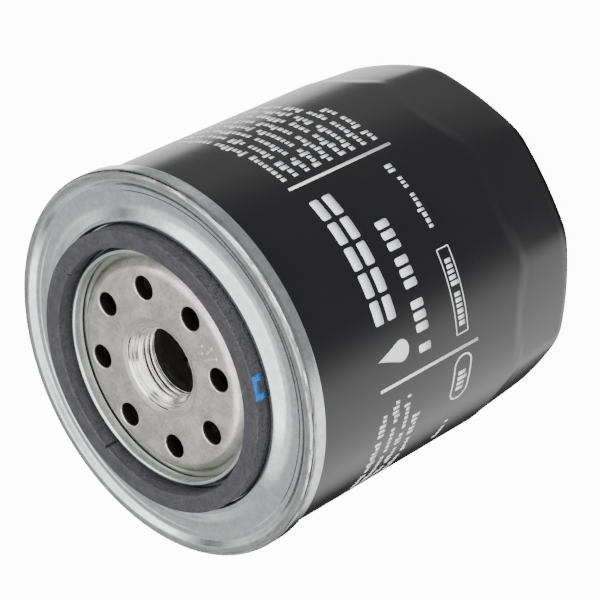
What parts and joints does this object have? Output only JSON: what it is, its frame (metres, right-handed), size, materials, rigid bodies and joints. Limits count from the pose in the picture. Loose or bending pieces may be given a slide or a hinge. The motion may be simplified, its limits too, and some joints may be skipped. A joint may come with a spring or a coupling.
{
  "type": "oil filter",
  "caption": "Spin-on engine oil filter: steel can with wrench flats, zinc-plated seaming lid, round gasket, threaded base plate with inlet holes and a pleated element inside.",
  "frame": {"origin": "centre of the closed end's flat face, so the filter stands on its closed end", "axes": "+Z along the filter's axis towards the threaded end; +X through the middle of one inlet hole"},
  "size_m": [0.0972, 0.0972, 0.105],
  "materials": {
    "black_paint": "gloss black enamel on drawn steel",
    "zinc_plate": "bright zinc plating, lightly scuffed",
    "plate_steel": "satin zinc plating",
    "black_rubber": "matt nitrile rubber",
    "valve_rubber": "smooth black rubber",
    "sealant": "cured sealing compound",
    "bare_steel": "tinned sheet steel",
    "spring_steel": "oiled spring steel",
    "filter_paper": "resin-treated filter paper",
    "adhesive": "cured adhesive"
  },
  "bodies": {
    "casing": {"can": "black_paint", "seaming_lid": "zinc_plate", "seam_sealant": "sealant", "sealing_gasket": "black_rubber", "base_plate": "plate_steel", "support_spring": "spring_steel"},
    "drain_valve": {"anti_drain_valve": "valve_rubber"},
    "element": {"element_seal": "valve_rubber", "top_end_cap": "bare_steel", "bottom_end_cap": "bare_steel", "top_adhesive": "adhesive", "bottom_adhesive": "adhesive", "pleated_paper": "filter_paper", "paper_seam_clip": "bare_steel", "centre_tube": "bare_steel", "bypass_cage": "bare_steel", "bypass_spring": "spring_steel", "spring_cup": "bare_steel"},
    "poppet": {"bypass_poppet": "bare_steel", "bypass_seal": "valve_rubber"}
  },
  "joints": [
    {"name": "drain_valve_open", "type": "slide", "parent": "casing", "child": "drain_valve", "axis": [0, 0, -1], "range_m": [0, 0.0012], "stiffness_N_per_m": 250, "springref_m": -0.003},
    {"name": "element_float", "type": "slide", "parent": "casing", "child": "element", "axis": [0, 0, -1], "range_m": [0, 0.0015], "stiffness_N_per_m": 5000, "springref_m": -0.008, "deforming": ["support_spring"]},
    {"name": "bypass_open", "type": "slide", "parent": "element", "child": "poppet", "axis": [0, 0, 1], "range_m": [0, 0.004], "stiffness_N_per_m": 1500, "springref_m": -0.004, "deforming": ["bypass_spring"]}
  ]
}
